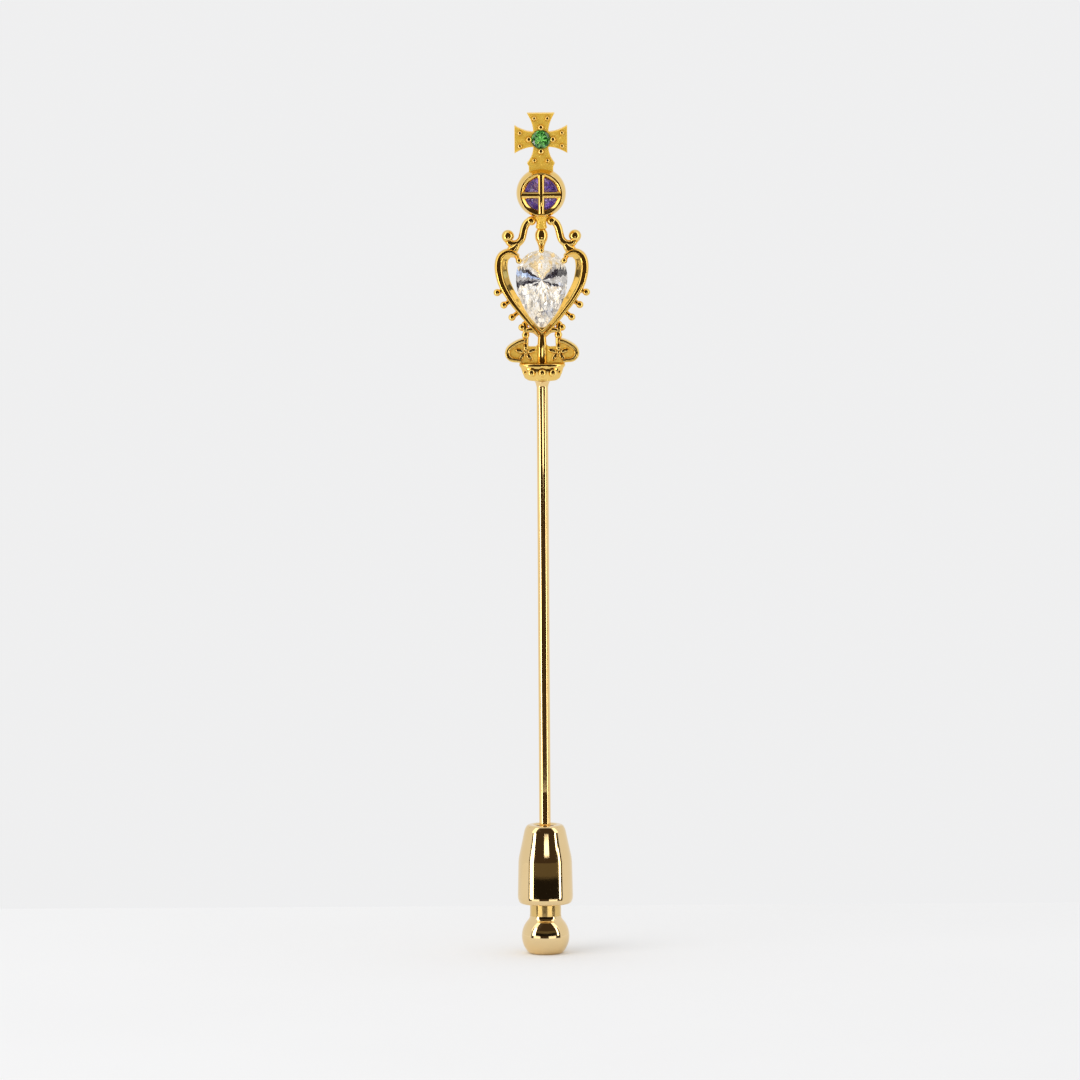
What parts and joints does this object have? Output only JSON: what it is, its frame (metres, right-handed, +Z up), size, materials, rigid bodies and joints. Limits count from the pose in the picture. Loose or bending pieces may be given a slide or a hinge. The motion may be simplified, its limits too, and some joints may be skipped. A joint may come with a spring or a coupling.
{
  "type": "hat pin",
  "caption": "Straight hat pin with a jewelled sceptre head of cross, orb and pear stone, and a ball-release spring clutch that locks on the point.",
  "frame": {"origin": "on the pin's axis at the underside of the collar, where the head seats on the cloth", "axes": "+Z up the pin towards the cross, -Y the head's front face, +X to the right as seen from the front"},
  "size_m": [0.0088, 0.0052, 0.0778],
  "materials": {
    "gold": "polished yellow gold",
    "grained_gold": "matte grained yellow gold with bright edges",
    "pale_gold": "mirror polished pale gold plate",
    "spring_steel": "bright drawn steel",
    "diamond": "faceted near-colourless stone",
    "green_stone": "faceted green stone",
    "violet_stone": "faceted violet stone"
  },
  "bodies": {
    "pin": {"amethyst": "violet_stone", "boss_back_1": "gold", "boss_back_2": "gold", "boss_back_3": "gold", "boss_back_4": "gold", "boss_back_5": "gold", "boss_front_1": "gold", "boss_front_2": "gold", "boss_front_3": "gold", "boss_front_4": "gold", "boss_front_5": "gold", "bowl": "gold", "bud": "gold", "centre_post": "gold", "circlet": "gold", "claw_left": "gold", "claw_right": "gold", "collar": "gold", "cross": "grained_gold", "frame_arm_left": "gold", "frame_arm_right": "gold", "grain_left_1": "gold", "grain_left_2": "gold", "grain_left_3": "gold", "grain_left_4": "gold", "grain_right_1": "gold", "grain_right_2": "gold", "grain_right_3": "gold", "grain_right_4": "gold", "green_stone": "green_stone", "lobe_rim_left": "gold", "lobe_rim_right": "gold", "lobe_web_left": "grained_gold", "lobe_web_right": "grained_gold", "orb_back": "gold", "orb_bars": "gold", "orb_foot": "gold", "orb_shell": "gold", "pear_stone": "diamond", "pin": "gold", "scroll_left": "gold", "scroll_right": "gold", "stone_seat_left": "gold", "stone_seat_right": "gold", "strut_left": "gold", "strut_right": "gold", "tip_claw": "gold", "yoke": "gold"},
    "clutch_spring": {"spring": "spring_steel"},
    "clutch_case": {"clutch_housing": "pale_gold", "closing_ring": "pale_gold"},
    "release_knob": {"plunger": "pale_gold", "knob": "pale_gold"},
    "lock_ball_1": {"lock_ball_1": "spring_steel"},
    "lock_ball_2": {"lock_ball_2": "spring_steel"},
    "lock_ball_3": {"lock_ball_3": "spring_steel"}
  },
  "joints": [
    {"name": "clutch_slide", "type": "slide", "parent": "pin", "child": "clutch_spring", "axis": [0, 0, -1], "range_m": [0, 0.02]},
    {"name": "clutch_turn", "type": "hinge", "parent": "clutch_spring", "child": "clutch_case", "pos_m": [0, 0, -0.0465], "axis": [0, 0, 1], "continuous": true},
    {"name": "knob_pull", "type": "slide", "parent": "clutch_case", "child": "release_knob", "axis": [0, 0, -1], "range_m": [0, 0.0008], "stiffness_N_per_m": 200, "springref_m": -0.001, "deforming": ["spring"]},
    {"name": "ball_1_shift", "type": "slide", "parent": "release_knob", "child": "lock_ball_1", "axis": [0, -1, 0], "range_m": [0, 0.0002]},
    {"name": "ball_2_shift", "type": "slide", "parent": "release_knob", "child": "lock_ball_2", "axis": [0.866, 0.5, 0], "range_m": [0, 0.0002]},
    {"name": "ball_3_shift", "type": "slide", "parent": "release_knob", "child": "lock_ball_3", "axis": [-0.866, 0.5, 0], "range_m": [0, 0.0002]}
  ],
  "couplings": [
    {"joint": "ball_1_shift", "follows": "knob_pull", "ratio": 0.25},
    {"joint": "ball_2_shift", "follows": "knob_pull", "ratio": 0.25},
    {"joint": "ball_3_shift", "follows": "knob_pull", "ratio": 0.25}
  ]
}
